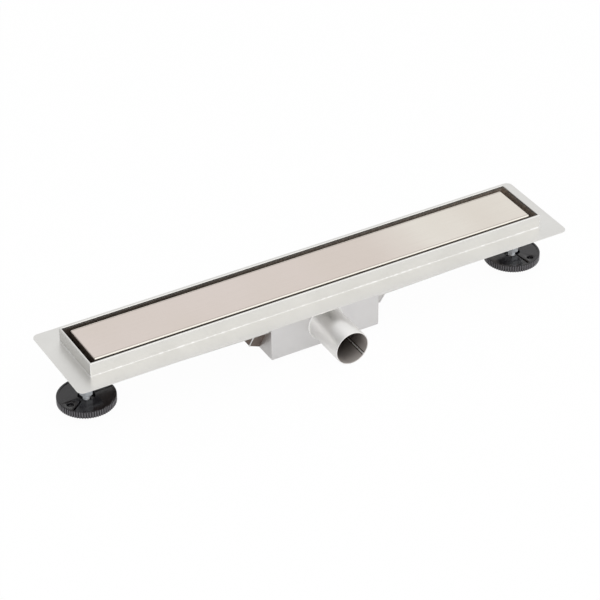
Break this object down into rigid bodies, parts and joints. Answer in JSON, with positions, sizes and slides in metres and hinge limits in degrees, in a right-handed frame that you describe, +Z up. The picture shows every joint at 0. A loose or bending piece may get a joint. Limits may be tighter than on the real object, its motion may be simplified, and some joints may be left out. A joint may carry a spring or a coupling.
{
  "type": "linear shower drain",
  "caption": "Stainless linear shower drain with a bonding flange, plain cover panel, side outlet, odour trap and levelling feet.",
  "frame": {"origin": "centre of the cover panel's top face, level with the finished floor", "axes": "+X along the drain, the outlet points to -Y, +Z up"},
  "size_m": [0.763, 0.1945, 0.094],
  "materials": {
    "channel_steel": "satin stainless sheet, pickled pale grey",
    "cover_steel": "stainless plate brushed along its length",
    "inner_steel": "mill-finish stainless sheet",
    "zinc_hardware": "bright zinc plate",
    "pad_plastic": "glossy black moulded plastic",
    "black_rubber": "matt black rubber"
  },
  "bodies": {
    "channel": {"channel_body": "channel_steel", "trap_box": "channel_steel", "inlet_chute_left": "channel_steel", "inlet_chute_right": "channel_steel", "outlet_spigot": "channel_steel", "foot_bracket_left": "channel_steel", "foot_bracket_right": "channel_steel", "cover_panel": "cover_steel", "weir_plate": "inner_steel", "trap_hood": "inner_steel", "trap_handle": "inner_steel", "hair_strainer": "inner_steel", "cover_support_1": "inner_steel", "cover_support_2": "inner_steel", "cover_support_3": "inner_steel", "cover_support_4": "inner_steel", "lower_nut_left": "zinc_hardware", "lower_nut_right": "zinc_hardware", "upper_nut_left": "zinc_hardware", "upper_nut_right": "zinc_hardware", "lower_washer_left": "zinc_hardware", "lower_washer_right": "zinc_hardware", "upper_washer_left": "zinc_hardware", "upper_washer_right": "zinc_hardware", "trap_seal": "black_rubber", "cover_buffers": "black_rubber"},
    "left_foot": {"levelling_bolt_left": "zinc_hardware", "foot_pad_left": "pad_plastic"},
    "right_foot": {"levelling_bolt_right": "zinc_hardware", "foot_pad_right": "pad_plastic"}
  },
  "joints": [
    {"name": "left_foot_height", "type": "slide", "parent": "channel", "child": "left_foot", "axis": [0, 0, -1], "range_m": [-0.002, 0.011]},
    {"name": "right_foot_height", "type": "slide", "parent": "channel", "child": "right_foot", "axis": [0, 0, -1], "range_m": [-0.002, 0.011]}
  ]
}
